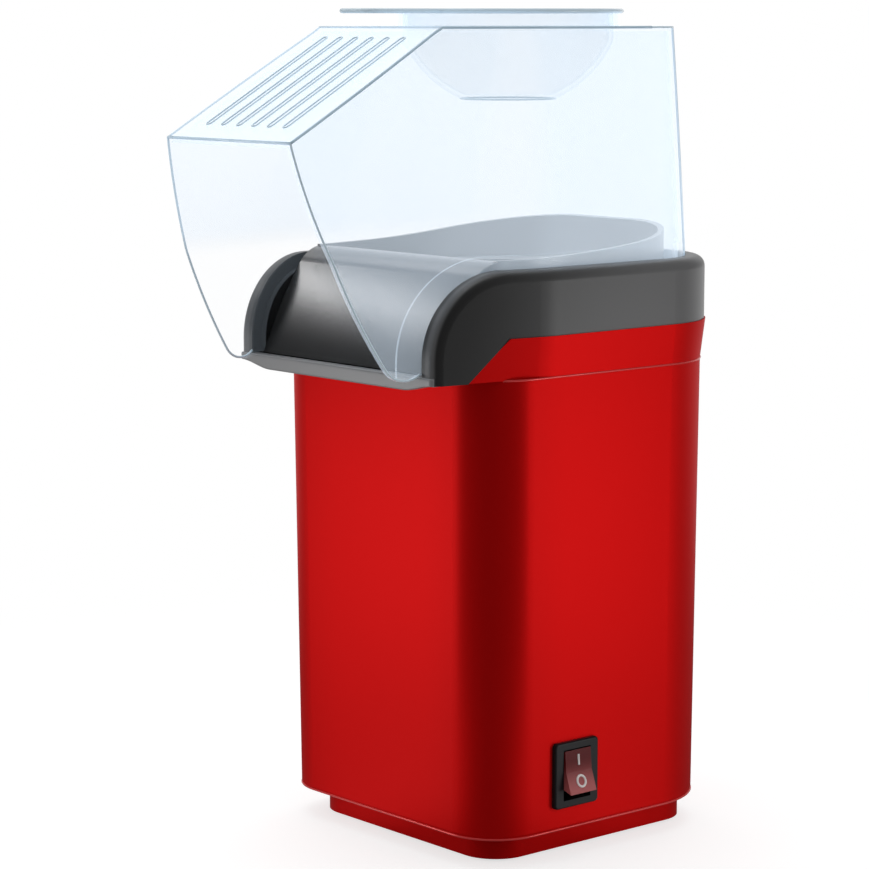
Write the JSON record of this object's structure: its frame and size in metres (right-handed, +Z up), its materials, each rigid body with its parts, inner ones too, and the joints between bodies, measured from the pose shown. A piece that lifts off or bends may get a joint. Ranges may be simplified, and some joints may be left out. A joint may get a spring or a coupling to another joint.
{
  "type": "popcorn maker",
  "caption": "Upright hot-air popcorn maker: tapered housing with a side rocker switch, dark spout collar, clear lift-off hood with an open chute, and a measuring cup in its roof.",
  "frame": {"origin": "on the table, under the middle of the overall width and depth", "axes": "+Z up, -Y towards the spout's open front, +X towards the switch's side"},
  "size_m": [0.1283, 0.1894, 0.3004],
  "materials": {
    "red_plastic": "gloss moulded",
    "black_plastic": "satin moulded",
    "dark_plastic": "satin gloss moulded",
    "liner_plastic": "gloss moulded",
    "clear_plastic": "clear moulded",
    "rocker_plastic": "gloss",
    "spun_aluminium": "spun",
    "black_rubber": "matte",
    "steel": "zinc plated",
    "steel_sheet": "galvanised",
    "mica": "plain sheet",
    "heating_wire": "oxidised",
    "inner_plastic": "moulded",
    "fan_plastic": "moulded",
    "ferrite": "sintered",
    "bronze": "plain",
    "winding": "lacquered",
    "board": "laminate"
  },
  "bodies": {
    "stand": {"housing": "red_plastic", "base_cover": "red_plastic", "collar": "dark_plastic", "chute_liner": "liner_plastic", "switch_body": "black_plastic", "popping_chamber": "spun_aluminium", "rubber_feet": "black_rubber", "base_screws": "steel", "collar_screws": "steel", "liner_screws": "steel", "air_jacket": "steel_sheet", "chamber_screws": "steel", "heater_frame": "mica", "heater_coil": "heating_wire", "fan_housing": "inner_plastic", "fan_housing_screws": "steel", "motor_can": "steel_sheet", "motor_magnets": "ferrite", "motor_end_cap": "inner_plastic", "motor_bushes": "bronze", "motor_screws": "steel", "rectifier_board": "board", "rectifier_diodes": "black_plastic", "thermostat": "steel_sheet", "thermal_fuse": "bronze", "switch_terminals": "bronze", "cord_grommet": "black_rubber"},
    "hood": {"hood": "clear_plastic"},
    "cup": {"measuring_cup": "clear_plastic"},
    "rocker": {"switch_rocker": "rocker_plastic"},
    "rotor": {"motor_shaft": "steel", "armature": "winding", "fan_impeller": "fan_plastic"}
  },
  "joints": [
    {"name": "hood_lift", "type": "slide", "parent": "stand", "child": "hood", "axis": [0, 0, 1], "range_m": [0, 0.06]},
    {"name": "cup_lift", "type": "slide", "parent": "hood", "child": "cup", "axis": [0, 0, 1], "range_m": [0, 0.04]},
    {"name": "switch_rock", "type": "hinge", "parent": "stand", "child": "rocker", "pos_m": [0.05785, 0.01165, 0.0312], "axis": [0, 1, 0], "range_deg": [0, 24]},
    {"name": "fan_spin", "type": "hinge", "parent": "stand", "child": "rotor", "pos_m": [0, 0.03165, 0.095], "axis": [0, 0, 1], "continuous": true}
  ]
}
